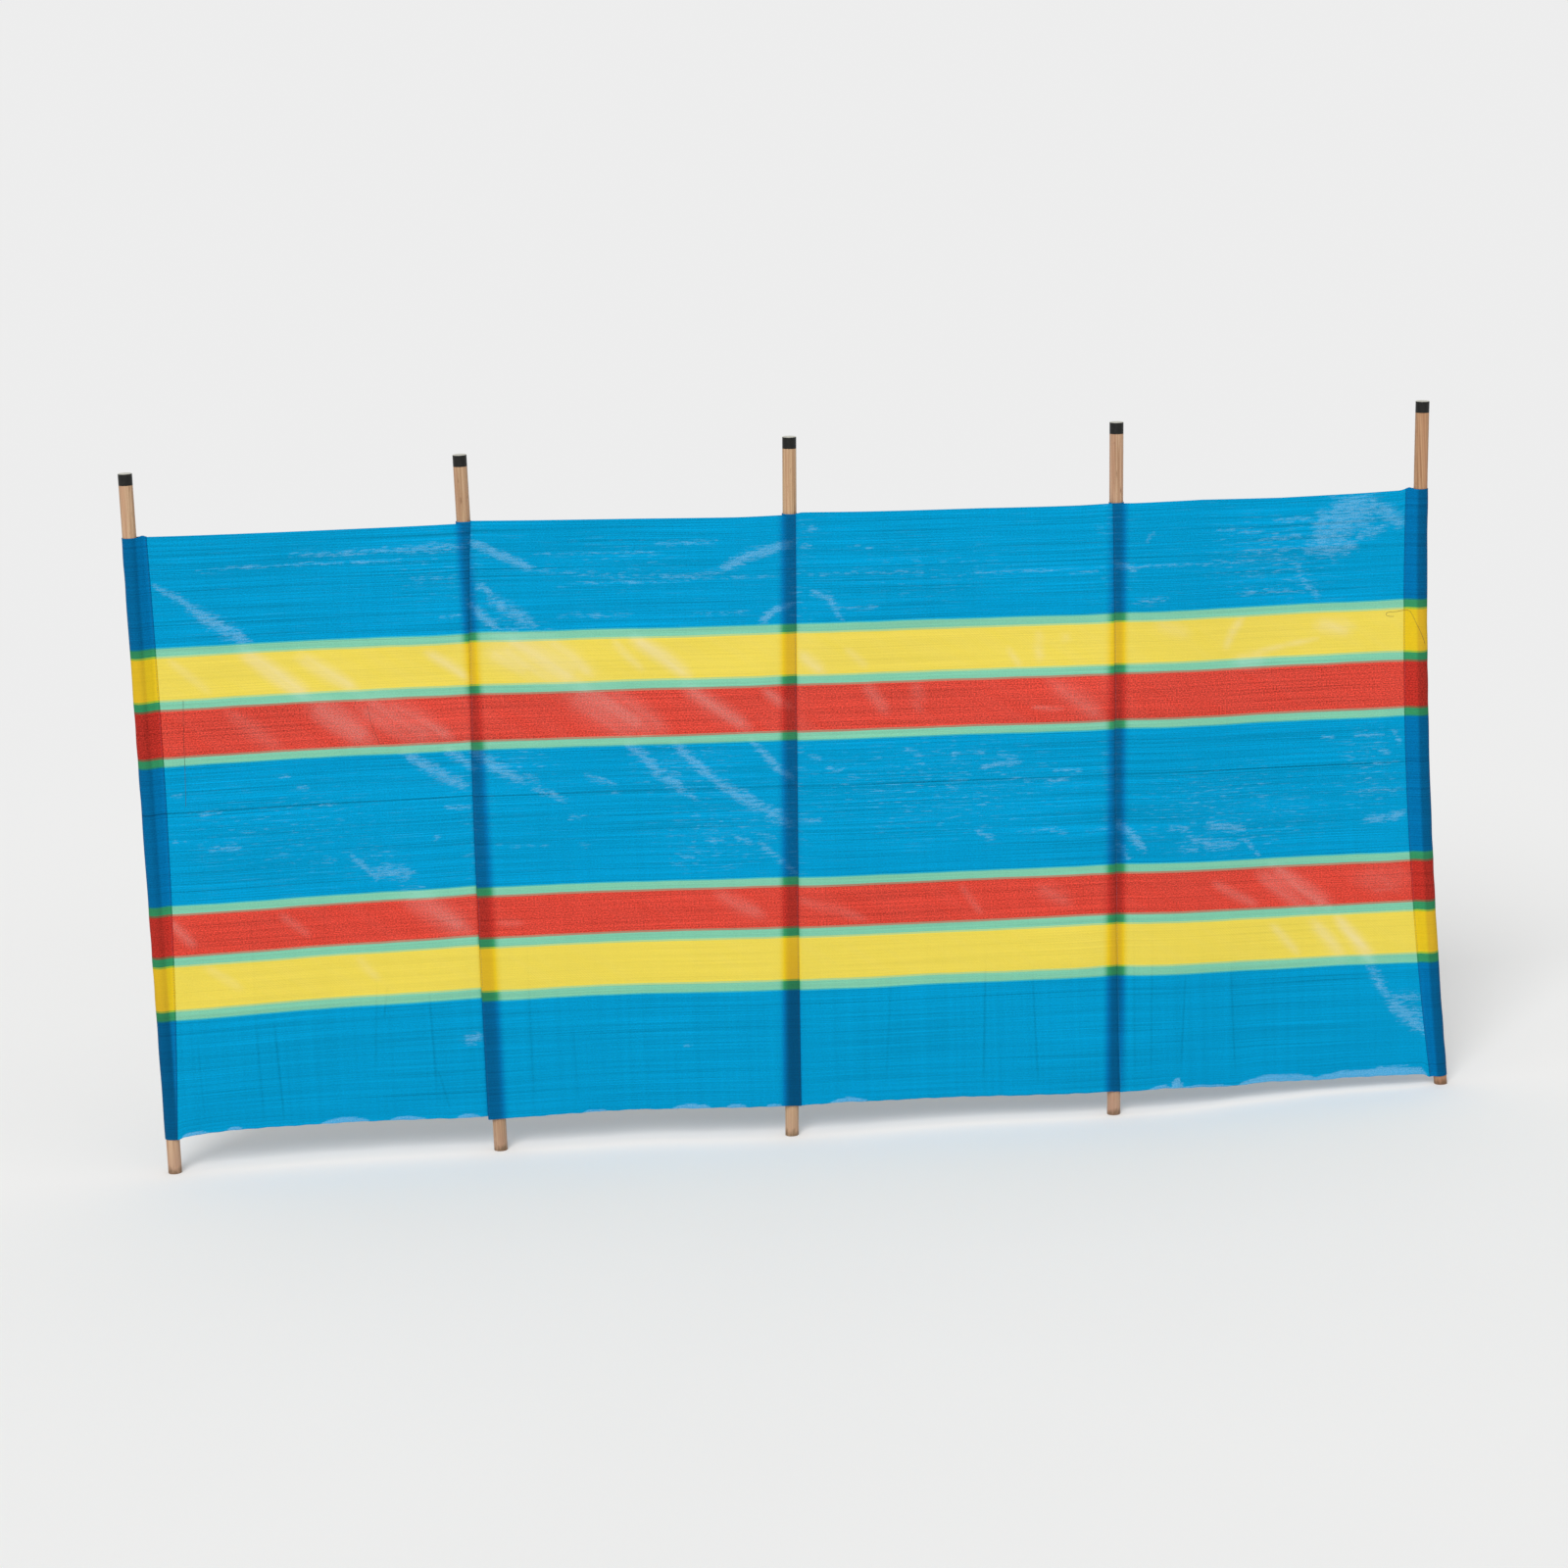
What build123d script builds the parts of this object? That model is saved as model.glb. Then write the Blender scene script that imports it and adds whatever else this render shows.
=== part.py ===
from build123d import *
from math import atan2, copysign, cos, degrees, radians, sin
import os

# A beach windbreak: one striped cloth carried by five round wooden poles that stand in the ground,
# so four bays side by side. +X runs along the cloth, +Z is up and the front of the cloth faces -Y.
# The origin is the middle of the middle pole where it meets the ground. The buried ends are left out.

# Poles, from the left end to the right end. Each was knocked in by hand, so each has its own place,
# lean (degrees, positive where the top leans to -X), bow (its middle pulled to -X) and height.
pole_diameter = 25.0
pole_x = [-1134.0, -538.0, 0.0, 604.0, 1243.0]
pole_y = [25.0, 30.0, 0.0, -5.0, 45.0]
pole_lean = [-0.2, 0.2, -1.9, -1.3, 1.5]
pole_bow = [0.0, 0.0, 0.0, 0.0, 19.0]
pole_height = [1287.0, 1290.0, 1297.0, 1294.0, 1299.0]
pole_start = 60.0  # how far below the ground a pole is begun before the ground line cuts it

# Hollow plastic cap, flush with the pole, pushed over the pole's turned-down end
cap_height = 21.0
cap_wall = 1.5
cap_roof = 2.0
cap_rim_round = 1.2
cap_fit = 0.2  # clearance all round the pole's end
cap_end_gap = 0.3

# Cloth
cloth_height = 1112.0
cloth_lift = [59.0, 58.0, 48.0, 40.0, 20.0]  # from the ground to the cloth's lower edge, at each pole
panel_thickness = 1.0
sleeve_wall = 1.0
cloth_clearance = 0.3
billow = [12.0, 10.0, 10.0, 12.0]  # how far each bay is blown back towards +Y in its middle
top_sag = [3.0, 2.0, 3.0, 6.0]
bottom_rise = [11.0, 5.0, 4.0, 6.0]
overrun = 0.05  # share of a bay by which the cutting arcs run past the seams
spare_cloth = 15.0  # what the cutting arcs trim off a panel above and below
panel_sections = 7

# End sleeves: the cloth is folded round the pole and sewn to itself
stitch_reach = 24.0  # pole axis to the stitching
hem_reach = 31.0  # pole axis to the free edge of the turned cloth
stitch_gap = 0.4  # what is left open between the two layers at the stitching

# Seams of the middle poles: each wanders across the front of its pole, from the lower to the upper edge
seam_low = [-20.0, 16.0, 8.0]
seam_high = [12.0, 12.0, -4.0]

pole_radius = pole_diameter / 2
sleeve_inside = pole_radius + cloth_clearance
sleeve_outside = sleeve_inside + sleeve_wall
front_plane = -(sleeve_outside + cloth_clearance + panel_thickness / 2)
last = len(pole_x) - 1


def pole_axis(index):
    """The centre line of a pole over the ground: straight, or an arc where the pole is bowed."""
    lean = radians(pole_lean[index])
    foot = Vector(pole_x[index], pole_y[index], 0)
    top = foot + Vector(-sin(lean), 0, cos(lean)) * pole_height[index]
    if not pole_bow[index]:
        return Edge.make_line(foot, top)
    middle = (foot + top) / 2 - Vector(cos(lean), 0, sin(lean)) * pole_bow[index]
    return Edge.make_three_point_arc(foot, middle, top)


axes = [pole_axis(index) for index in range(len(pole_x))]


def along(index, distance):
    """The plane square to a pole at a distance up its axis from the ground."""
    axis = axes[index]
    inside = min(max(distance, 0), axis.length)
    up = axis.tangent_at(inside / axis.length)
    place = Plane(axis.position_at(inside / axis.length), x_dir=Vector(0, 1, 0).cross(up), z_dir=up)
    return place.offset(distance - inside)


def stretch(index, start, end):
    """The piece of a pole's axis between two distances from the ground."""
    axis = axes[index]
    return axis.trim(start / axis.length, end / axis.length)


def turned_cloth(index):
    """Which way the turned cloth of an end sleeve points in a plan, in degrees: to the next seam."""
    neighbour = 1 if index == 0 else last - 1
    across = pole_x[neighbour] - pole_x[index]
    back = pole_y[neighbour] + front_plane - pole_y[index]
    return degrees(atan2(back, across))


def seam_at(index, rise, side):
    """A point of a seam, a distance up the cloth: side is -1 at the panel's front, 1 at its back."""
    half = side * panel_thickness / 2
    if index in (0, last):
        turn = radians(turned_cloth(index))
        half *= copysign(1, cos(turn))
        reach = hem_reach * cos(turn) - half * sin(turn)
        depth = hem_reach * sin(turn) + half * cos(turn)
    else:
        share = rise / cloth_height
        reach = seam_low[index - 1] * (1 - share) + seam_high[index - 1] * share
        depth = front_plane + half
    return along(index, cloth_lift[index] + rise).from_local_coords(Vector(reach, depth, 0))


def cloth_heading(index):
    """The direction that a panel has at a seam, seen in a plan, from left to right."""
    if index in (0, last):
        turn = radians(turned_cloth(index))
        return (abs(cos(turn)), sin(turn) * copysign(1, cos(turn)))
    return (1, 0)


def bowed_edge(start, end, rise):
    """An edge of a panel as a front view shows it: an arc through both seams, run past them."""
    step = (end - start) * overrun
    drop = Vector(0, 0, 4 * rise * overrun * (1 + overrun))
    points = (start - step - drop, (start + end) / 2 + Vector(0, 0, rise), end + step - drop)
    return ThreePointArc(*[(point.X, point.Z) for point in points])


os.makedirs("parts", exist_ok=True)

# Poles: round dowels, turned down at the top for the cap
for index in range(len(pole_x)):
    shoulder = pole_height[index] - cap_height
    with BuildPart() as pole:
        with BuildSketch(along(index, 0)) as section:
            Circle(pole_radius)
        extrude(amount=-pole_start)
        sweep(sections=section.sketch, path=stretch(index, 0, shoulder))
        with BuildSketch(along(index, shoulder)):
            Circle(pole_radius - cap_wall - cap_fit)
        extrude(amount=cap_height - cap_roof - cap_end_gap)
        split(bisect_by=Plane.XY, keep=Keep.TOP)
    pole.part.label = f"pole_{index + 1}"
    export_step(pole.part, f"parts/pole_{index + 1}.step")

# Caps: thin plastic cups that stand on the pole's shoulder
for index in range(len(pole_x)):
    seat = along(index, pole_height[index] - cap_height)
    with BuildPart() as cap:
        with BuildSketch(seat):
            Circle(pole_radius)
        extrude(amount=cap_height)
        fillet(cap.edges().filter_by(GeomType.CIRCLE).sort_by(Axis.Z)[-1], cap_rim_round)
        with BuildSketch(seat):
            Circle(pole_radius - cap_wall)
        extrude(amount=cap_height - cap_roof, mode=Mode.SUBTRACT)
    cap.part.label = f"cap_{index + 1}"
    export_step(cap.part, f"parts/cap_{index + 1}.step")

# Sleeves: at the ends a teardrop, folded round the pole and sewn to itself. At the middle poles the
# cloth is tucked into a loop behind the panels, close round the pole.
for index in range(len(pole_x)):
    with BuildPart() as sleeve:
        with BuildSketch(along(index, cloth_lift[index])) as ring:
            if index in (0, last):
                with BuildSketch(mode=Mode.PRIVATE) as folded:
                    Circle(sleeve_outside)
                    with Locations(((hem_reach + stitch_reach) / 2, 0)):
                        Rectangle(hem_reach - stitch_reach, 2 * sleeve_wall)
                    make_hull()
                with BuildSketch(mode=Mode.PRIVATE) as hollow:
                    Circle(sleeve_inside)
                    with Locations((stitch_reach, 0)):
                        Circle(stitch_gap / 2)
                    make_hull()
                add(folded.sketch, rotation=turned_cloth(index))
                add(hollow.sketch, rotation=turned_cloth(index), mode=Mode.SUBTRACT)
            else:
                Circle(sleeve_outside)
                Circle(sleeve_inside, mode=Mode.SUBTRACT)
        path = stretch(index, cloth_lift[index], cloth_lift[index] + cloth_height)
        sweep(sections=ring.sketch, path=path)
    sleeve.part.label = f"sleeve_{index + 1}"
    export_step(sleeve.part, f"parts/sleeve_{index + 1}.step")

# Panels: thin cloth that leaves each seam in line with it and is blown back between the poles. Its top
# edge sags and its bottom edge rises towards the middle of the bay.
for index in range(last):
    left, right = index, index + 1
    with BuildPart() as panel:
        for number in range(panel_sections):
            rise = (cloth_height + 2 * spare_cloth) * number / (panel_sections - 1) - spare_cloth
            start, end = seam_at(left, rise, 0), seam_at(right, rise, 0)
            across = Vector(end.X - start.X, 0, end.Z - start.Z)
            section = Plane(start, x_dir=across, z_dir=across.cross(Vector(0, 1, 0)))
            with BuildSketch(section):
                with BuildLine():
                    faces = []
                    for side in (-1, 1):
                        first = section.to_local_coords(seam_at(left, rise, side))
                        final = section.to_local_coords(seam_at(right, rise, side))
                        middle = (first + final) / 2 + Vector(0, billow[index], 0)
                        points = [(point.X, point.Y) for point in (first, middle, final)]
                        headings = (cloth_heading(left), cloth_heading(right))
                        faces.append(Spline(*points, tangents=headings))
                    Line(faces[0] @ 0, faces[1] @ 0)
                    Line(faces[0] @ 1, faces[1] @ 1)
                make_face()
        loft()
        low = [seam_at(pole_index, 0, 0) for pole_index in (left, right)]
        high = [seam_at(pole_index, cloth_height, 0) for pole_index in (left, right)]
        with BuildSketch(Plane.XZ):
            with BuildLine():
                bottom = bowed_edge(low[0], low[1], bottom_rise[index])
                top = bowed_edge(high[0], high[1], -top_sag[index])
                Line(bottom @ 0, top @ 0)
                Line(bottom @ 1, top @ 1)
            make_face()
        extrude(amount=cloth_height, both=True, mode=Mode.INTERSECT)
    panel.part.label = f"panel_{index + 1}"
    export_step(panel.part, f"parts/panel_{index + 1}.step")
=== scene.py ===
from math import cos, pi, radians, sin

import bmesh
import bpy
import numpy as np
from mathutils import Matrix, Vector
from mathutils.bvhtree import BVHTree


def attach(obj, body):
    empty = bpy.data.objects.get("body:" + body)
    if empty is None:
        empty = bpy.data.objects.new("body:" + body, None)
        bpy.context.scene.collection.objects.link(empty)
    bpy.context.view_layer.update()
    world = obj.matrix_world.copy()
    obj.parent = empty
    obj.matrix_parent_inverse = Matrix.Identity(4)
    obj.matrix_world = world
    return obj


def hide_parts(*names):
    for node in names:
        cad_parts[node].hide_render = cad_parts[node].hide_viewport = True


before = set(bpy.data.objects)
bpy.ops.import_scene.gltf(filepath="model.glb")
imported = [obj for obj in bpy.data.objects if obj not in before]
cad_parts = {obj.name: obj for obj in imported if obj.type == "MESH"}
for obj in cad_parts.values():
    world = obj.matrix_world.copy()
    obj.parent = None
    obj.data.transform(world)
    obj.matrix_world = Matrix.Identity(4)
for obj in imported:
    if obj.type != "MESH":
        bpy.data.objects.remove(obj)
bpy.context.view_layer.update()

MM = 0.001

# Layout, in metres, as in the CAD. The row runs along +X, +Z is up and the cloth's front faces -Y.
POLE_X = (-1.134, -0.538, 0.0, 0.604, 1.243)
POLE_Y = (0.025, 0.030, 0.0, -0.005, 0.045)
POLE_LEAN = (-0.2, 0.2, -1.9, -1.3, 1.5)  # degrees, positive where the top leans to -X
POLE_BOW = (0.0, 0.0, 0.0, 0.0, 0.019)
POLE_HEIGHT = (1.287, 1.290, 1.297, 1.294, 1.299)
POLE_RADIUS = 0.0125
# How much of the wood's red, green and blue each pole shows
WOOD_TONE = (
    (0.805, 0.790, 0.745), (0.755, 0.750, 0.690), (0.800, 0.815, 0.730), (0.765, 0.740, 0.715), (0.665, 0.570, 0.475),
)
CLOTH_HEIGHT = 1.112
CLOTH_LIFT = (0.059, 0.058, 0.048, 0.040, 0.020)
BILLOW = (0.012, 0.010, 0.010, 0.012)
FRONT_PLANE = -0.0146  # the panels' middle plane, from the axes of the middle poles
LAST = len(POLE_X) - 1

# Where each seam runs past its pole, at four levels of the cloth: along the cloth, and in depth
SEAM_LEVELS = (0.0, 0.35, 0.7, 1.0)
SEAM_REACH = (
    (0.0100, 0.0275, 0.0325, 0.0300),
    (-0.0200, -0.0165, -0.0070, 0.0120),
    (0.0165, 0.0125, 0.0105, 0.0095),
    (0.0090, -0.0010, -0.0045, -0.0092),
    (-0.0210, -0.0300, -0.0315, -0.0280),
)
SEAM_DEPTH = (
    (-0.0143, -0.0050, 0.0, 0.0),
    (FRONT_PLANE,) * 4,
    (FRONT_PLANE,) * 4,
    (FRONT_PLANE,) * 4,
    (-0.0050, 0.0, 0.0, 0.0),
)
# How far each bay hangs above its even place at those levels, in millimetres: at its left seam, halfway and at
# its right seam
HANG = (
    ((6.6, 7, 3.3, 2), (6.5, -2.7, -0.5, -3.3), (11.7, 13, 4, -1)),
    ((4.8, 8.2, 4.4, 2.8), (4, -0.8, -2.3, -2.5), (11, 11.2, 6, -2.5)),
    ((11.7, 9, 4.7, 1), (0.2, -3.5, -1.8, -5), (7.3, 6.5, -0.3, -2.8)),
    ((5, 7.3, 1.2, -3), (2.1, -5.2, -2.8, -5.4), (-2.8, 0.8, 2.4, 6.3)),
)
# How far the lower and the upper selvedge rise out of that: places along x and the rise there, in millimetres
LOWER_RISE = (
    (-1124, 3), (-1060, 5.6), (-1000, 4.6), (-940, 2.2), (-870, -0.4), (-720, -2.6), (-610, -2.2),
    (-540, 0), (-300, 0), (-220, -1.2), (-130, 0), (30, 1), (100, 2.8), (160, 1),
    (300, 0), (420, -1.6), (550, -0.8), (640, 1), (700, 3), (760, 0.8), (840, -2.6),
    (890, 0.6), (1000, -2.2), (1060, 1), (1130, 3), (1180, 5),
)
UPPER_RISE = (
    (-50, 0), (50, 2), (380, 2.2), (560, 0), (660, 0.4), (720, 2), (790, 2.8),
    (860, 0.8), (940, -1.6), (1180, -2.2), (1240, 0),
)
RISE_FADE = 0.08  # how far up or down the cloth such a rise is felt
RISE_MARGIN = 0.012  # beside a seam, where it dies out
CLING = 0.04  # how far past a pole the cloth takes to hang free of it
HEM = 0.007  # from the stitching of an end sleeve to the free edge of its hem
HEM_PEAK = 0.0025  # how far the upper edge of an end sleeve stands up at its stitching
LOOP_RADIUS = 0.0132
EDGE_SHEEN_AND_WEAR, EDGE_SHEEN_WIDTH = 0.45, 0.0014  # how much painted sheen and wear an end sleeve's outer edge has, and how far in
SLEEVE_SLACK = 0.0003  # the depth of the unevenness behind the poles
LAYER_GAP = 0.0004  # between the two layers of a sleeve at its seam
SEAM_DIP, DIP_WIDTH = 0.0010, 0.004  # how far the cloth is drawn in along a middle seam, and how far beside it
SEAM_SHADE, SHADE_WIDTH = 0.8, 0.0025  # the thin line of painted shade along a middle seam
SEAM_SHEEN, SHEEN_WIDTH = 0.08, 0.02  # the slight painted sheen and wear beside a middle seam
UPPER_SHEEN = 0.03  # the slight painted sheen and wear of the whole upper part
CLOTH_THICKNESS = 0.0006
CELL = 0.005  # the size of a cell of the cloth's meshes
# How far each pole's shadow on the cloth reaches from its axis: away from the seam, or towards it at an end pole
SHADOW_REACH = (0.0110, 0.0105, 0.0150, 0.0150, 0.0075)
SHADOW_SOFTNESS, END_SOFTNESS = 0.011, 0.003  # half the width of its soft edge on a middle and on an end pole
# How far past a middle pole's axis the seam must be to stop the shadow
SHADOW_SPREAD = (0.0, 0.016, 0.010, 0.016, 0.0)
# How dark the shadow is on the upper and on the lower part, where 1 is two layers of cloth and 2 is over a pole
SHADOW_DEPTH = ((1.50, 1.82), (1.57, 1.65), (1.68, 2.0), (1.62, 1.80), (1.78, 1.80))

# Stripes from the upper edge down, in metres. Between two stripes there is a tape or two of both colours.
STRIPES = (
    ("blue", 0.1998), ("aqua", 0.0024), ("mint", 0.0135), ("lime", 0.0036), ("yellow", 0.0759), ("lime", 0.0036),
    ("mint", 0.0137), ("rust", 0.0040), ("red", 0.0830), ("rust", 0.0040), ("mint", 0.0133), ("aqua", 0.0024),
    ("blue", 0.2551), ("aqua", 0.0024), ("mint", 0.0138), ("rust", 0.0040), ("red", 0.0740), ("rust", 0.0040),
    ("mint", 0.0147), ("lime", 0.0036), ("yellow", 0.0784), ("lime", 0.0036), ("mint", 0.0155), ("aqua", 0.0024),
    ("blue", 0.2213),
)
# Each colour as one layer of cloth, as two layers with painted shade, and as two layers with a pole's painted shadow
DYES_AND_SHADE = {
    "blue": ((0, 158, 209), (0, 121, 182), (3, 82, 126)),
    "aqua": ((68, 186, 196), (30, 140, 144), (26, 104, 106)),
    "mint": ((134, 207, 176), (58, 156, 104), (44, 120, 80)),
    "lime": ((190, 216, 146), (168, 198, 60), (138, 150, 60)),
    "yellow": ((239, 219, 89), (237, 203, 38), (212, 168, 42)),
    "rust": ((186, 140, 116), (140, 104, 72), (104, 80, 60)),
    "red": ((220, 74, 59), (199, 54, 44), (156, 43, 35)),
}
# The same where the cloth is rubbed or creased and shines: pale painted highlight, with some wear
RUBBED_AND_SHINING = {
    "blue": (134, 196, 234), "aqua": (160, 214, 220), "mint": (176, 226, 208), "lime": (208, 228, 190),
    "yellow": (240, 226, 178), "rust": (208, 190, 174), "red": (226, 172, 162),
}
# How strongly each colour's tapes differ from each other
TAPE_CONTRAST = {"blue": 1.0, "aqua": 0.6, "mint": 0.5, "lime": 0.3, "yellow": 0.23, "rust": 0.6, "red": 1.0}
# Single darker tapes that run the whole length: height over the lower edge, half thickness, depth
DARK_TAPES = ((0.608, 0.0016, 0.30), (0.196, 0.0012, 0.14), (0.154, 0.0012, 0.10), (1.012, 0.0010, 0.16))

# Marks on the cloth. Places are x along the row and the height over the lower edge. All lengths in these tables
# are in millimetres, and strengths in hundredths.
# Painted shade along fine upright creases: the place of the upper and of the lower end, and how dark
CREASE_SHADES = (
    (-1076, 197, -1072, 20, 7), (-965, 400, -969, 200, 7), (-969, 225, -966, 10, 10),
    (-936, 210, -929, 0, 15), (-743, 311, -759, 85, 10), (-727, 260, -738, 190, 15),
    (-653, 268, -649, 50, 15), (-646, 98, -626, 15, 10), (-470, 358, -473, 20, 9),
    (-394, 170, -391, 20, 8), (195, 267, 175, 10, 9), (371, 290, 358, 5, 13),
    (455, 250, 462, 5, 14), (646, 340, 642, 10, 8), (682, 340, 673, 10, 10),
    (745, 245, 732, 30, 15), (833, 240, 840, 15, 13),
)
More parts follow.
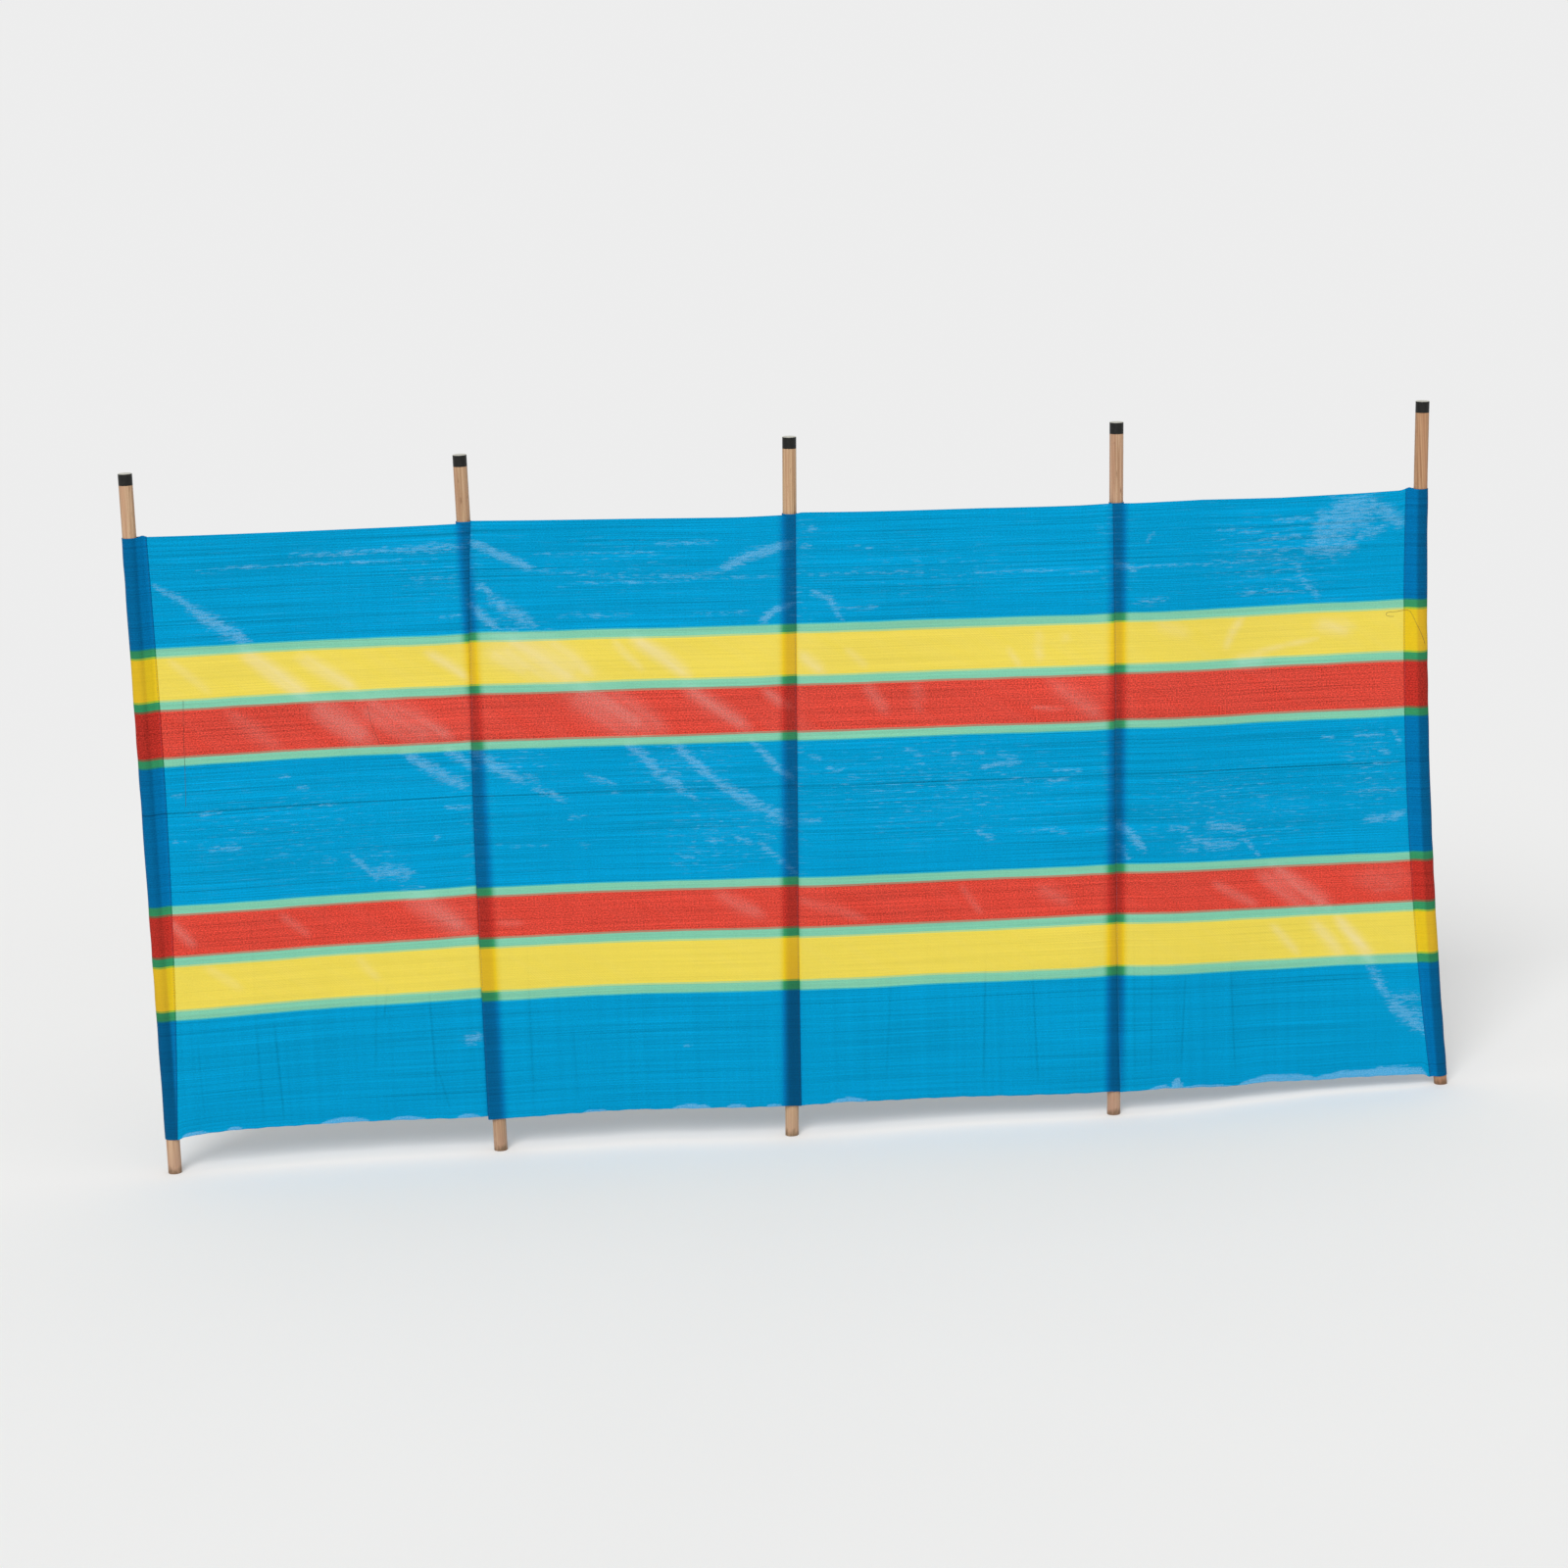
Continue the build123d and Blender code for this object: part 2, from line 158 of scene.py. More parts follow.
# Glossy folds and rubbed lines, real relief with a painted highlight along them: the width, the strength, and x and
# height of each place that one passes
FOLDS = (
    (9, 70, -1094, 1024, -1054, 999, -1015, 969), (21, 70, -1027, 975, -976, 940, -940, 914),
    (26, 75, -946, 899, -893, 854, -837, 808), (13, 30, -1076, 887, -1010, 826),
    (24, 55, -845, 882, -798, 849, -753, 818), (17, 60, -618, 879, -576, 851, -549, 830),
    (45, 50, -824, 796, -784, 763, -737, 725), (56, 42, -737, 792, -681, 759, -622, 726),
    (23, 50, -697, 787, -638, 752, -587, 721), (17, 70, -671, 697, -625, 663, -595, 642, -564, 626),
    (15, 60, -597, 698, -571, 679, -550, 662), (9, 45, -852, 1069, -767, 1067, -671, 1071),
    (13, 50, -671, 1069, -602, 1071, -536, 1070), (4, 50, -1025, 1047, -898, 1052, -761, 1052, -615, 1047),
    (4, 35, -648, 1015, -560, 1017), (9, 35, -592, 944, -560, 946), (6, 45, -1089, 639, -1071, 639),
    (6, 45, -1058, 604, -1034, 603, -1002, 608), (8, 60, -1030, 537, -998, 538, -976, 536),
    (6, 35, -1093, 557, -1067, 555), (6, 40, -895, 662, -878, 661), (6, 40, -867, 640, -841, 637),
    (6, 45, -829, 605, -804, 605), (9, 65, -778, 510, -755, 487, -734, 461),
    (24, 55, -736, 479, -703, 473, -672, 468), (6, 55, -603, 590, -577, 587, -557, 583),
    (6, 45, -629, 530, -615, 537), (6, 35, -830, 504, -802, 502), (38, 50, -679, 430, -632, 394, -584, 356),
    (15, 50, -1109, 406, -1090, 384, -1070, 361), (15, 30, -909, 405, -865, 365), (13, 25, -776, 312, -745, 275),
    (15, 25, -1048, 318, -993, 275), (17, 55, -594, 147, -563, 149), (30, 25, -976, 787, -932, 748, -894, 715),
    (13, 75, -532, 1074, -498, 1059, -468, 1044, -440, 1031, -423, 1023),
    (6, 34, -423, 1023, -385, 1017, -340, 1013, -282, 1008, -230, 1006),
    (8, 40, -230, 1006, -152, 1006, -99, 1012, -64, 1025), (17, 70, -89, 1017, -35, 1042, 7, 1052, 43, 1063),
    (4, 40, -422, 1050, -342, 1049, -274, 1049, -188, 1053), (8, 40, -208, 1066, -149, 1066, -92, 1070),
    (4, 40, -386, 993, -257, 995, -166, 999, 16, 1000), (11, 60, -528, 996, -512, 990, -497, 979),
    (21, 55, -503, 972, -469, 950, -428, 923), (13, 80, -540, 964, -519, 941, -492, 918),
    (8, 30, -382, 938, -253, 936), (6, 30, -143, 934, -39, 937), (13, 65, 39, 948, 3, 937, -23, 917),
    (68, 55, -481, 895, -421, 862, -356, 824), (30, 50, -508, 873, -440, 841),
    (23, 45, -402, 892, -365, 864, -331, 827), (13, 40, -286, 889, -263, 861, -238, 835),
    (23, 70, -248, 891, -202, 860, -156, 823), (56, 55, -363, 799, -303, 763, -243, 725),
    (30, 40, -301, 793, -250, 760, -203, 724), (28, 50, -161, 798, -113, 764, -55, 723),
    (19, 45, -19, 787, 3, 769, 28, 755), (19, 60, -269, 695, -237, 668, -217, 642, -174, 613),
    (13, 40, -186, 613, -149, 588), (15, 75, -185, 693, -153, 660, -115, 626),
    (17, 65, -115, 626, -78, 595, -38, 568), (11, 60, -38, 568, -3, 551, 23, 534),
    (9, 50, -72, 607, -29, 574, 20, 554), (13, 65, -47, 696, -25, 672, -5, 646, 26, 621),
    (21, 65, -551, 695, -519, 668, -468, 637), (11, 50, -444, 621, -416, 609, -389, 595),
    (9, 35, -462, 649, -430, 628), (9, 50, -348, 639, -323, 632, -295, 620), (6, 35, -301, 606, -284, 605),
    (6, 30, -383, 563, -348, 564), (4, 30, -520, 515, -421, 510), (8, 35, -368, 508, -350, 507),
    (8, 45, -179, 482, -160, 480), (8, 35, -199, 470, -178, 469), (8, 50, -139, 513, -100, 511),
    (9, 55, -81, 516, -53, 503), (8, 45, -31, 515, -6, 513), (9, 60, -42, 503, -11, 478, 25, 442),
    (9, 45, -28, 554, -3, 540, 20, 530), (23, 30, -119, 410, -81, 387, -44, 368), (11, 25, -521, 369, -479, 366),
    (6, 50, -193, 122, -181, 122), (8, 50, 68, 1086, 86, 1078), (8, 55, 55, 1052, 74, 1052),
    (4, 45, 138, 1050, 184, 1046), (4, 40, 49, 999, 165, 999, 275, 1000), (4, 40, 352, 997, 484, 996, 607, 990),
    (11, 70, 623, 1001, 641, 996, 661, 991), (11, 60, 71, 968, 103, 958, 113, 940, 123, 920),
    (8, 30, 122, 938, 188, 937), (23, 45, 48, 855, 63, 840, 84, 821), (13, 35, 130, 860, 166, 828),
    (11, 30, 426, 854, 446, 818), (17, 30, 482, 879, 482, 828), (17, 30, 526, 873, 535, 866),
    (23, 35, 165, 794, 181, 769, 198, 741), (26, 25, 255, 793, 261, 749), (38, 30, 506, 783, 547, 756, 589, 722),
    (6, 40, 468, 741, 521, 737), (6, 50, 57, 665, 78, 658), (6, 50, 86, 642, 117, 634), (6, 45, 120, 623, 145, 622),
    (6, 50, 233, 672, 260, 660), (8, 50, 319, 659, 334, 658), (8, 50, 357, 661, 377, 660),
    (8, 60, 370, 631, 408, 637, 451, 641), (8, 40, 405, 654, 437, 649), (6, 50, 503, 621, 553, 619),
    (8, 40, 447, 603, 461, 602), (8, 50, 490, 599, 533, 603), (6, 45, 303, 603, 328, 589),
    (9, 50, 358, 513, 390, 497), (9, 50, 495, 513, 523, 500), (4, 40, 432, 507, 491, 511),
    (6, 35, 552, 503, 600, 505), (15, 70, 616, 517, 636, 498, 660, 476), (6, 50, 29, 544, 74, 545),
    (17, 25, 27, 396, 90, 373, 143, 354), (11, 25, 328, 407, 362, 357), (26, 25, 474, 398, 524, 370),
    (49, 62, 1005, 1023, 1054, 1054, 1113, 1088), (38, 62, 1011, 1059, 1061, 1086, 1110, 1099),
    (30, 58, 997, 1013, 1039, 1014, 1076, 1016), (26, 58, 1104, 1092, 1141, 1075, 1169, 1052),
    (19, 50, 1083, 1027, 1117, 1042, 1135, 1046), (19, 45, 1024, 1010, 1068, 1013), (6, 45, 813, 1058, 907, 1049),
    (8, 45, 898, 1035, 983, 1039), (8, 40, 854, 1013, 982, 1015), (8, 45, 926, 1070, 994, 1071),
    (4, 45, 645, 996, 793, 997, 926, 997, 988, 997), (16, 34, 973, 990, 976, 968, 988, 947),
    (22, 32, 988, 947, 1001, 936, 1010, 920), (6, 40, 682, 1041, 697, 1057), (11, 35, 659, 931, 718, 934),
    (8, 35, 853, 938, 982, 936), (15, 45, 833, 840, 845, 867, 864, 890), (26, 45, 1010, 869, 1071, 862),
    (26, 30, 702, 889, 758, 869), (9, 40, 884, 825, 943, 835, 1009, 845), (26, 45, 852, 806, 905, 815),
    (6, 45, 1018, 661, 1040, 660), (8, 50, 1078, 662, 1134, 661), (8, 45, 1123, 634, 1146, 626),
    (6, 40, 1112, 606, 1145, 607), (8, 40, 1153, 668, 1168, 640), (6, 45, 1078, 557, 1172, 557),
    (13, 65, 1100, 501, 1140, 502, 1172, 510), (11, 55, 714, 503, 752, 502), (15, 60, 791, 507, 825, 501, 863, 495),
    (17, 50, 752, 482, 805, 467, 851, 467), (11, 45, 738, 464, 771, 458), (8, 50, 859, 482, 874, 462, 892, 442),
    (13, 70, 627, 511, 647, 488, 669, 461), (11, 50, 617, 478, 639, 444), (15, 40, 804, 394, 843, 370, 883, 350),
    (26, 60, 920, 417, 968, 380, 1023, 341), (23, 45, 893, 408, 943, 370, 987, 337),
    (4, 30, 1126, 411, 1134, 388, 1145, 367, 1115, 366), (45, 20, 1092, 393, 1171, 383),
    (13, 40, 917, 307, 942, 279, 965, 252), (23, 45, 1000, 310, 1027, 274, 1051, 234),
    (19, 70, 1044, 315, 1076, 275, 1110, 230), (17, 50, 1108, 217, 1125, 185, 1144, 156),
    (24, 70, 1144, 150, 1171, 126, 1209, 93), (17, 45, 1148, 158, 1201, 155), (15, 50, 1186, 130, 1209, 126),
)
# Places with pale dashes of painted glints and wear: the middle, the spread both ways, and the strength
DASHES = (
    (300, 600, 200, 80, 10), (-120, 520, 90, 60, 10.5), (840, 530, 160, 70, 10.5),
    (1100, 600, 50, 80, 11), (920, 1000, 100, 60, 12), (-900, 560, 180, 90, 7),
    (-620, 1030, 60, 50, 8), (-280, 1030, 120, 50, 7.5), (300, 1000, 180, 60, 6.5),
    (-170, 650, 80, 45, 11), (-460, 660, 50, 35, 10), (-740, 500, 50, 40, 9.5),
)
# Places where the lower selvedge curls forward: both ends along x, and how high the curl is
CURLS = (
    (-1118, -1070, 8), (-1033, -1004, 7), (-864, -776, 10), (-736, -675, 8),
    (-616, -572, 7), (-383, -340, 5), (-220, -148, 9), (-121, -83, 7),
    (-47, -18, 6), (73, 141, 9), (672, 714, 7), (714, 734, 22),
    (735, 832, 5), (844, 1008, 15), (985, 1160, 14), (1060, 1228, 19),
)

FOLD_RISE = 0.09  # how far a fold stands forward, as a share of its width
CREASE_WIDTH = 0.0034  # from the middle of a fine crease to its edge
CURL_FORWARD, CURL_UP = 0.006, 0.002  # how far the tip of a curl is bent
CURL_MARGIN = 0.020  # beside a seam, where curls die out
# the painted reflection on the front of a curl
CURL_SHINE = 0.95
SELVEDGE_WAVE = 0.0007  # the small unevenness of the lower selvedge
LONG_RIPPLE, SHORT_RIPPLE = 0.0006, 0.00012  # the depth of each ripple of a stretched sheet

# Loose threads that cling to the cloth: the places on its front (x, z) that each one passes, in millimetres
THREADS = (
    ((1154, 903), (1143, 903), (1138, 908), (1143, 912), (1157, 911), (1173, 914), (1183, 913),
     (1188, 905), (1194, 889), (1203, 870), (1210, 850)),
    ((-1057, 876), (-1061, 816), (-1063, 745), (-1066, 683)),
    ((-732, 848), (-729, 812), (-713, 775)),
)
THREAD_RADIUS = 0.00024  # of a loose one
THREAD_SIDES = 6
STITCH_RADIUS = 0.00018
STITCH_LENGTH = 0.0034
STITCH_PITCH = 0.0048
STITCH_START, STITCH_END = 0.004, 0.006  # inside the cloth's lower and upper edge
STITCH_INSET = (0.0025, 0.0022, 0.0022, 0.0022, 0.0025)  # how far in from the seam
WEAVE = 0.005  # the repeat of the weave's fine bumps

# The photograph's viewpoint: place, lens in mm on a 36 mm sensor, and angles in degrees
CAMERA_PLACE = (-0.6263, -6.5351, 2.1005)
CAMERA_LENS = 85
CAMERA_PITCH, CAMERA_YAW, CAMERA_ROLL = 12.335, 5.561, -2.192
BACKDROP = (0.85, 0.85, 0.85, 1)  # the pale tone of everything behind the object
SKY_LIGHT = 0.62
# The lamp: strength, size in degrees and direction
KEY_LIGHT, KEY_SPREAD, KEY_DIRECTION = 1.76, 30, (0.28, 0.74, -0.61)
FLOOR_RADIUS = 60

random = np.random.default_rng(11)


def smoothstep(low, high, value):
    """From 0 to 1 as a value goes from low to high, level at both ends."""
    share = np.clip((value - low) / (high - low), 0.0, 1.0)
    return share * share * (3.0 - 2.0 * share)


def add_object(name, data):
    """A new object in the scene, at the origin."""
    made = bpy.data.objects.new(name, data)
    bpy.context.scene.collection.objects.link(made)
    return made


def level_curve(values, rise):
    """A smooth curve through values at the four seam levels."""
    return np.polyval(np.polyfit(SEAM_LEVELS, values, 3), rise / CLOTH_HEIGHT)


def pole_frame(index, distance):
    """Points on a pole's axis at distances up from the ground, and the direction across it there."""
    lean, height = radians(POLE_LEAN[index]), POLE_HEIGHT[index]
    share = distance[:, None] / height
    up = np.array((-sin(lean), 0.0, cos(lean)))
    left = np.array((-cos(lean), 0.0, -sin(lean)))
    foot = np.array((POLE_X[index], POLE_Y[index], 0.0))
    points = foot + share * height * up + 4 * POLE_BOW[index] * share * (1 - share) * left
    tangent = up + 4 * POLE_BOW[index] * (1 - 2 * share) / height * left
    tangent /= np.linalg.norm(tangent, axis=1, keepdims=True)
    return points, np.cross((0.0, 1.0, 0.0), tangent)


def beside_pole(index, rise, reach, depth):
    """Points beside a pole at heights on the cloth: reach along the cloth, depth towards the back."""
    points, across = pole_frame(index, CLOTH_LIFT[index] + rise)
    return points + across * np.reshape(reach, (-1, 1)) + np.reshape(depth, (-1, 1)) * (0.0, 1.0, 0.0)


def seam(index, rise):
    """The line where two bays meet, or where an end sleeve's hem ends."""
    reach, depth = level_curve(SEAM_REACH[index], rise), level_curve(SEAM_DEPTH[index], rise)
    if 0 < index < LAST:
        depth = depth + SEAM_DIP
    return beside_pole(index, rise, reach, depth)


def hang(bay, share, rise):
    """How far a bay's cloth is above its even place, at shares of its width."""
    left, middle, right = (level_curve(values, rise) for values in HANG[bay])
    return MM * (left * (1 - share) + right * share + 4 * share * (1 - share) * middle)


def hang_at_pole(index, rise):
    """The same where the cloth goes round a pole."""
    ends = [HANG[bay][side] for bay, side in ((index - 1, 2), (index, 0)) if 0 <= bay < LAST]
    return MM * level_curve(np.mean(ends, axis=0), rise)


def graded(length, fine=0.0008, growth=1.35):
    """Places along a length: close together at both ends, then a cell apart."""
    steps = [0.0]
    step = fine
    while step < CELL:
        steps.append(steps[-1] + step)
        step *= growth
    ends = np.array(steps)
    count = int(round((length - 2 * ends[-1]) / CELL)) + 1
    middle = np.linspace(ends[-1], length - ends[-1], count)[1:-1]
    return np.concatenate((ends, middle, (length - ends)[::-1]))


def slack(x, z):
    """The gentle unevenness of a stretched sheet: long ripples, flatter along the cloth than across."""
    total = np.zeros_like(x)
    for _ in range(9):
        length, turn, phase = random.uniform(0.12, 0.45), random.uniform(-0.5, 0.5), random.uniform(0, 2 * pi)
        total += LONG_RIPPLE * np.sin(2 * pi * (x * sin(turn) + z * cos(turn)) / length + phase)
    for _ in range(5):
        length, phase = random.uniform(0.02, 0.05), random.uniform(0, 2 * pi)
        total += SHORT_RIPPLE * np.sin(2 * pi * z / length + phase + 1.5 * np.sin(7 * x + phase))
    return total


def fold_share(width, line, x, rise):
    """How much of a fold there is at each point: 1 on its line, 0 away from it."""
    runs = np.diff(line, axis=0)
    lengths = np.linalg.norm(runs, axis=1)
    gap, along, passed = np.full_like(x, 9.0), np.zeros_like(x), 0.0
    for start, run, length in zip(line, runs, lengths):
        share = np.clip(((x - start[0]) * run[0] + (rise - start[1]) * run[1]) / length ** 2, 0.0, 1.0)
        here = np.hypot(x - start[0] - share * run[0], rise - start[1] - share * run[1])
        along = np.where(here < gap, (passed + share * length) / lengths.sum(), along)
        gap = np.minimum(gap, here)
        passed += length
    swell = 0.8 + 0.2 * np.sin(pi * along)
    faded = 0.6 + 0.4 * smoothstep(0.0, 0.1, along) * smoothstep(0.0, 0.1, 1 - along)
    return faded * np.exp(-(gap / (0.6 * width * swell)) ** 2)


def dashed_share(x, rise):
    """How strongly each point gets pale dashes of painted glints and wear."""
    total = np.zeros_like(x)
    for *sizes, strength in DASHES:
        middle_x, middle_rise, spread_x, spread_rise = (size * MM for size in sizes)
        away = ((x - middle_x) / spread_x) ** 2 + ((rise - middle_rise) / spread_rise) ** 2
        total = np.maximum(total, strength / 100 * np.exp(-away / 2))
    return total


def curl_share(x, rise):
    """How far into a curl of the lower edge each point is: 0 at its upper end, 1 at the selvedge."""
    share = np.zeros_like(x)
    for left, right, height in np.array(CURLS) * MM:
        middle, half = (left + right) / 2, (right - left) / 2
        top = height * np.sqrt(np.clip(1 - ((x - middle) / half) ** 2, 0.0, 1.0))
        share = np.maximum(share, np.clip((top - rise) / height, 0.0, 1.0))
    return share


def shadow_depth(index, rise):
    """How dark the cloth is over a pole, at heights on the cloth."""
    upper, lower = SHADOW_DEPTH[index]
    return lower + (upper - lower) * smoothstep(0.2, 0.36, rise)


def pole_shade(offset, index, reach, rise, side):
    """How dark the cloth is on one side of a middle seam, from 0 to 2, at offsets from the pole's axis."""
    strength = shadow_depth(index, rise) * smoothstep(-SHADOW_SPREAD[index], 0.0, -side * reach)
    low, high = SHADOW_REACH[index] - SHADOW_SOFTNESS, SHADOW_REACH[index] + SHADOW_SOFTNESS
    return strength * (1 - smoothstep(low, high, side * offset))


def cloth_object(name, points, cloth_xy, shade, sheen_and_wear):
    """A thin closed sheet from a grid of points, with its cloth coordinates and its two masks: painted shade, and
    painted sheen with wear.
    """
    rows, columns = points.shape[:2]
    mesh = bpy.data.meshes.new(name)
    number = np.arange(rows * columns).reshape(rows, columns)
    faces = np.stack((number[:-1, :-1], number[:-1, 1:], number[1:, 1:], number[1:, :-1]), axis=-1).reshape(-1, 4)
    mesh.from_pydata(points.reshape(-1, 3).tolist(), [], faces.tolist())
    mesh.polygons.foreach_set("use_smooth", np.ones(len(faces), bool))
    layer = mesh.uv_layers.new(name="cloth")
    layer.data.foreach_set("uv", cloth_xy.reshape(-1, 2)[faces.reshape(-1)].astype(np.float32).reshape(-1))
    for label, values in (("shade", shade), ("sheen_and_wear", sheen_and_wear)):
        mesh.attributes.new(label, "FLOAT", "POINT").data.foreach_set("value", values.astype(np.float32).reshape(-1))
    made = add_object(name, mesh)
    shell = made.modifiers.new("thickness", "SOLIDIFY")
    shell.thickness = CLOTH_THICKNESS
    shell.offset = 0.0
    made.data.materials.append(cloth_material)
    return made


def stretched(bay, share, rise):
    """A bay's points between its two seams, blown back and hung from its ends."""
    left, right = seam(bay, rise_rows)[:, None, :], seam(bay + 1, rise_rows)[:, None, :]
    points = left + (right - left) * share[..., None]
    points[..., 1] = left[..., 1] + (right - left)[..., 1] * smoothstep(0, 1, share)
    points[..., 1] += BILLOW[bay] * np.sin(pi * share) ** 2
    points[..., 2] += hang(bay, share, rise)
    return points


def beside_seams(bay, rise, away_left, away_right):
    """What a bay's seams and poles give each point: painted shade, painted sheen and wear, how far it is drawn in,
    and how free it hangs.
    """
    shade, drawn_in, free = np.zeros_like(rise), np.zeros_like(rise), np.ones_like(rise)
    sheen_and_wear = UPPER_SHEEN * smoothstep(0.25, 0.6, rise / CLOTH_HEIGHT)
    for index, away, side in ((bay, away_left, 1), (bay + 1, away_right, -1)):
        reach = level_curve(SEAM_REACH[index], rise)
        if 0 < index < LAST:
            # the pole's painted shadow, and a thin line of painted shade along the seam
            shade = np.maximum(shade, pole_shade(reach + side * away, index, reach, rise, side))
            shade = np.maximum(shade, SEAM_SHADE * np.exp(-away / SHADE_WIDTH))
            drawn_in += SEAM_DIP * smoothstep(0.0, DIP_WIDTH, away)
            sheen_and_wear += SEAM_SHEEN * np.exp(-away / SHEEN_WIDTH) * smoothstep(0.2, 0.5, rise)
        touching = np.maximum(POLE_RADIUS + 0.003 - side * reach, 0.004)
        free = free * smoothstep(touching, touching + CLING, away)
    return shade, sheen_and_wear, drawn_in, free


def folded(x, rise):
    """How far the folds stand forward at each point, and how much painted highlight they get."""
    forward, shine = np.zeros_like(x), np.zeros_like(x)
    for width, strength, *line in FOLDS:
        width, line = width * MM, np.reshape(line, (-1, 2)) * MM
        low, high = line.min(axis=0) - 1.5 * width, line.max(axis=0) + 1.5 * width
        near = (x > low[0]) & (x < high[0]) & (rise > low[1]) & (rise < high[1])
        there = strength / 100 * fold_share(width, line, x[near], rise[near])
        shine[near] = np.maximum(shine[near], there)
        forward[near] += FOLD_RISE * width * there
    return forward, shine


def edge_rise(x, rise):
    """How far the unevenness of both selvedges lifts each point."""
    total = np.zeros_like(x)
    for rises, from_edge in ((LOWER_RISE, rise), (UPPER_RISE, CLOTH_HEIGHT - rise)):
        total += MM * np.interp(x / MM, *zip(*rises)) * np.exp(-(from_edge / RISE_FADE) ** 2)
    return total


def panel(bay):
    """One bay of cloth, stretched from seam to seam."""
    width = float(np.mean(seam(bay + 1, rise_rows)[:, 0] - seam(bay, rise_rows)[:, 0]))
    share, rise = np.meshgrid(graded(width) / width, rise_rows)
    points = stretched(bay, share, rise)
    x, away_left, away_right = points[..., 0].copy(), share * width, (1 - share) * width
    shade, sheen_and_wear, drawn_in, free = beside_seams(bay, rise, away_left, away_right)
    forward, shine = folded(x, rise)
    from_seam = np.minimum(away_left, away_right)
    curl = curl_share(x, rise) * smoothstep(0.0, CURL_MARGIN, from_seam)
    # painted highlight along folds and curls, and painted glints with wear in dashes
    sheen_and_wear = np.maximum.reduce((sheen_and_wear, dashed_share(x, rise), shine, CURL_SHINE * smoothstep(0.0, 0.2, curl)))
    points[..., 1] -= drawn_in + (slack(x, rise) + forward) * free + CURL_FORWARD * curl ** 2
    selvedge = SELVEDGE_WAVE * np.sin(x * 133) * np.sin(x * 47 + bay) * np.exp(-rise / 0.02)
    uneven = edge_rise(x, rise) * smoothstep(0.0, RISE_MARGIN, from_seam)
    points[..., 2] += selvedge * free + uneven + CURL_UP * curl ** 2
    made = cloth_object(f"panel_{bay + 1}_cloth", points, np.stack((x, rise), axis=-1), shade, sheen_and_wear)
    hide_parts(f"panel_{bay + 1}")
    return made, width


def sleeve_outline(index, turn):
    """Sections of a sleeve, one a row, in its pole's own frame: along the cloth, and towards the back."""
    reach, depth = level_curve(SEAM_REACH[index], rise_rows), level_curve(SEAM_DEPTH[index], rise_rows)
    if index in (0, LAST):
        reach = reach - HEM * sleeve_side(index)
    else:
        depth = depth + SEAM_DIP + LAYER_GAP
    distance = np.maximum(np.hypot(reach, depth), LOOP_RADIUS * 1.002)
    wedge = np.arccos(LOOP_RADIUS / distance)
    off = np.abs(np.where(turn > pi, turn - 2 * pi, turn))[None, :]
    radius = LOOP_RADIUS / np.cos(np.maximum(wedge[:, None] - off, 0.0))
    wave = np.sin(rise_rows[:, None] * 61 + 2.0 * np.sin(rise_rows[:, None] * 17 + turn[None, :] * 2))
    radius = radius + SLEEVE_SLACK * smoothstep(0.6, 2.2, off) * (1 + wave)
    angle = np.arctan2(depth, reach)[:, None] + turn[None, :]
    return radius * np.cos(angle), radius * np.sin(angle)


def sleeve_side(index):
    """The side of a pole on which its sleeve is sewn: 1 towards +X, -1 towards -X."""
    return -1 if index == LAST else 1


def hemmed(flat_x, flat_y, towards):
    """An end sleeve's sections with the hem on both layers, and how far each point of them stands up."""
    hem = np.linspace(HEM, 0, 4)[None, :-1] * towards
    seam_x, seam_y = flat_x[:, :1], flat_y[:, :1]
    flat_x = np.concatenate((seam_x + hem, flat_x, seam_x + hem[:, ::-1]), axis=1)
    flat_y = np.concatenate((seam_y + LAYER_GAP + 0 * hem, flat_y, seam_y + 0 * hem), axis=1)
    at_top = smoothstep(0.985, 1.0, rise_rows / CLOTH_HEIGHT)[:, None]
    return flat_x, flat_y, HEM_PEAK * np.exp(-((flat_x - seam_x) / 0.005) ** 2) * at_top


